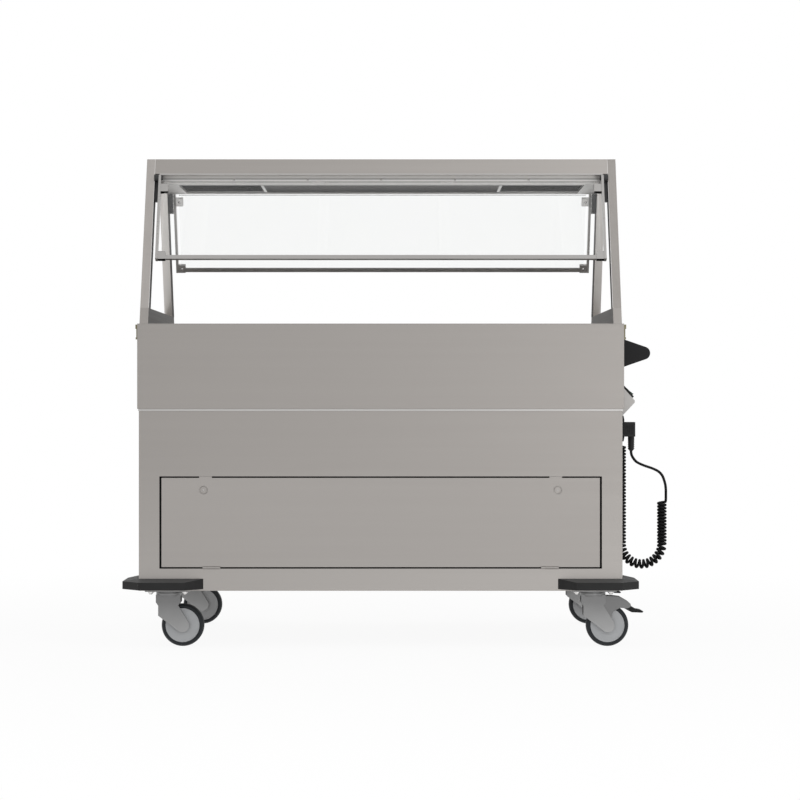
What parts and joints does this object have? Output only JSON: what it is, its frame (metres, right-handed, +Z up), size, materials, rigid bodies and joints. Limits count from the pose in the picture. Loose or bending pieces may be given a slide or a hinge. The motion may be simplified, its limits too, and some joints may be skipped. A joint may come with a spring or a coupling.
{
  "type": "heated buffet trolley",
  "caption": "Mobile stainless steel buffet trolley with heated food wells, a lamp canopy with hinged glass flaps, a push handle, braked castors and a curly mains cord.",
  "frame": {"origin": "on the floor under the wheels, at the middle of the trolley's box without its cord and plug", "axes": "+X along the trolley towards the push handle and controls, +Y from the guests' side with the service panel to the back, +Z up"},
  "size_m": [1.3012, 0.721, 1.165],
  "materials": {
    "brushed_steel": "fine brushed",
    "polished_steel": "bright satin",
    "zinc_plate": "dull zinc plate",
    "yellow_zinc": "yellow zinc plate",
    "light_grey_paint": "satin paint",
    "black_plastic": "fine textured",
    "bumper_rubber": "matt moulded",
    "wheel_plastic": "moulded",
    "tyre": "matt",
    "cord_sheath": "satin",
    "lamp_pan": "dark enamel",
    "rocker_green": "translucent",
    "flap_glass": "clear safety glass"
  },
  "bodies": {
    "root": {"base_plate": "brushed_steel", "frame_posts": "zinc_plate", "cabinet_front": "brushed_steel", "cabinet_back": "brushed_steel", "cabinet_side_left": "brushed_steel", "cabinet_side_right": "brushed_steel", "upper_casing": "brushed_steel", "worktop": "brushed_steel", "well_left": "polished_steel", "well_middle": "polished_steel", "well_right": "polished_steel", "well_heaters": "black_plastic", "drain_pipe": "zinc_plate", "panel_hinges": "polished_steel", "corner_bumpers": "bumper_rubber", "castor_plates": "zinc_plate", "castor_bolts": "zinc_plate", "handle_cheeks": "black_plastic", "handle_tube": "polished_steel", "control_housing": "light_grey_paint", "control_fascia": "black_plastic", "parking_socket": "black_plastic", "plug": "black_plastic", "cable_gland": "black_plastic", "curly_cord": "cord_sheath", "cord_lead": "cord_sheath", "side_rails": "brushed_steel", "canopy_legs": "brushed_steel", "canopy_shell": "brushed_steel", "lamp_tray": "brushed_steel", "lamp_unit": "lamp_pan", "hinge_plates": "black_plastic", "worktop_clamps": "yellow_zinc"},
    "castor_fl": {"castor_fork_fl": "zinc_plate"},
    "wheel_fl": {"castor_wheel_fl": "wheel_plastic", "castor_tyre_fl": "tyre"},
    "castor_fr": {"castor_fork_fr": "zinc_plate"},
    "wheel_fr": {"castor_wheel_fr": "wheel_plastic", "castor_tyre_fr": "tyre"},
    "castor_bl": {"castor_fork_bl": "zinc_plate"},
    "wheel_bl": {"castor_wheel_bl": "wheel_plastic", "castor_tyre_bl": "tyre"},
    "castor_br": {"castor_fork_br": "zinc_plate"},
    "wheel_br": {"castor_wheel_br": "wheel_plastic", "castor_tyre_br": "tyre"},
    "brake_fr": {"brake_arm_fr": "zinc_plate", "brake_pad_fr": "black_plastic"},
    "brake_br": {"brake_arm_br": "zinc_plate", "brake_pad_br": "black_plastic"},
    "service_panel": {"service_panel": "brushed_steel"},
    "panel_lock_left": {"panel_lock_left": "polished_steel"},
    "panel_lock_right": {"panel_lock_right": "polished_steel"},
    "rocker_1": {"rocker_1": "rocker_green"},
    "rocker_2": {"rocker_2": "rocker_green"},
    "rocker_3": {"rocker_3": "rocker_green"},
    "rocker_4": {"rocker_4": "rocker_green"},
    "front_flap": {"front_flap_frame": "polished_steel", "front_flap_glass": "flap_glass"},
    "back_flap": {"back_flap_frame": "polished_steel", "back_flap_glass": "flap_glass"}
  },
  "joints": [
    {"name": "castor_fl_swivel", "type": "hinge", "parent": "root", "child": "castor_fl", "pos_m": [-0.52045, -0.2625, 0.12], "axis": [0, 0, 1], "continuous": true},
    {"name": "wheel_fl_spin", "type": "hinge", "parent": "castor_fl", "child": "wheel_fl", "pos_m": [-0.48695, -0.2625, 0.05], "axis": [0, 1, 0], "continuous": true},
    {"name": "castor_fr_swivel", "type": "hinge", "parent": "root", "child": "castor_fr", "pos_m": [0.48355, -0.2625, 0.12], "axis": [0, 0, 1], "continuous": true},
    {"name": "wheel_fr_spin", "type": "hinge", "parent": "castor_fr", "child": "wheel_fr", "pos_m": [0.51705, -0.2625, 0.05], "axis": [0, 1, 0], "continuous": true},
    {"name": "castor_bl_swivel", "type": "hinge", "parent": "root", "child": "castor_bl", "pos_m": [-0.52045, 0.2625, 0.12], "axis": [0, 0, 1], "continuous": true},
    {"name": "wheel_bl_spin", "type": "hinge", "parent": "castor_bl", "child": "wheel_bl", "pos_m": [-0.48695, 0.2625, 0.05], "axis": [0, 1, 0], "continuous": true},
    {"name": "castor_br_swivel", "type": "hinge", "parent": "root", "child": "castor_br", "pos_m": [0.48355, 0.2625, 0.12], "axis": [0, 0, 1], "continuous": true},
    {"name": "wheel_br_spin", "type": "hinge", "parent": "castor_br", "child": "wheel_br", "pos_m": [0.51705, 0.2625, 0.05], "axis": [0, 1, 0], "continuous": true},
    {"name": "brake_fr_press", "type": "hinge", "parent": "castor_fr", "child": "brake_fr", "pos_m": [0.50755, -0.2625, 0.109], "axis": [0, 1, 0], "range_deg": [0, 5]},
    {"name": "brake_br_press", "type": "hinge", "parent": "castor_br", "child": "brake_br", "pos_m": [0.50755, 0.2625, 0.109], "axis": [0, 1, 0], "range_deg": [0, 5]},
    {"name": "service_panel_hinge", "type": "hinge", "parent": "root", "child": "service_panel", "pos_m": [-0.01845, -0.3215, 0.189], "axis": [1, 0, 0], "range_deg": [0, 90]},
    {"name": "panel_lock_left_turn", "type": "hinge", "parent": "service_panel", "child": "panel_lock_left", "pos_m": [-0.43345, -0.3215, 0.371], "axis": [0, -1, 0], "range_deg": [0, 90]},
    {"name": "panel_lock_right_turn", "type": "hinge", "parent": "service_panel", "child": "panel_lock_right", "pos_m": [0.39655, -0.3215, 0.371], "axis": [0, 1, 0], "range_deg": [0, 90]},
    {"name": "rocker_1_tilt", "type": "hinge", "parent": "root", "child": "rocker_1", "pos_m": [0.58125, -0.1285, 0.60083], "axis": [0, 1, 0], "range_deg": [0, 16]},
    {"name": "rocker_2_tilt", "type": "hinge", "parent": "root", "child": "rocker_2", "pos_m": [0.58125, -0.0395, 0.60083], "axis": [0, 1, 0], "range_deg": [0, 16]},
    {"name": "rocker_3_tilt", "type": "hinge", "parent": "root", "child": "rocker_3", "pos_m": [0.58125, 0.0495, 0.60083], "axis": [0, 1, 0], "range_deg": [0, 16]},
    {"name": "rocker_4_tilt", "type": "hinge", "parent": "root", "child": "rocker_4", "pos_m": [0.58125, 0.1385, 0.60083], "axis": [0, 1, 0], "range_deg": [0, 16]},
    {"name": "front_flap_hinge", "type": "hinge", "parent": "root", "child": "front_flap", "pos_m": [-0.01845, -0.168, 1.118], "axis": [-1, 0, 0], "range_deg": [0, 90]},
    {"name": "back_flap_hinge", "type": "hinge", "parent": "root", "child": "back_flap", "pos_m": [-0.01845, 0.168, 1.118], "axis": [1, 0, 0], "range_deg": [0, 90]}
  ]
}
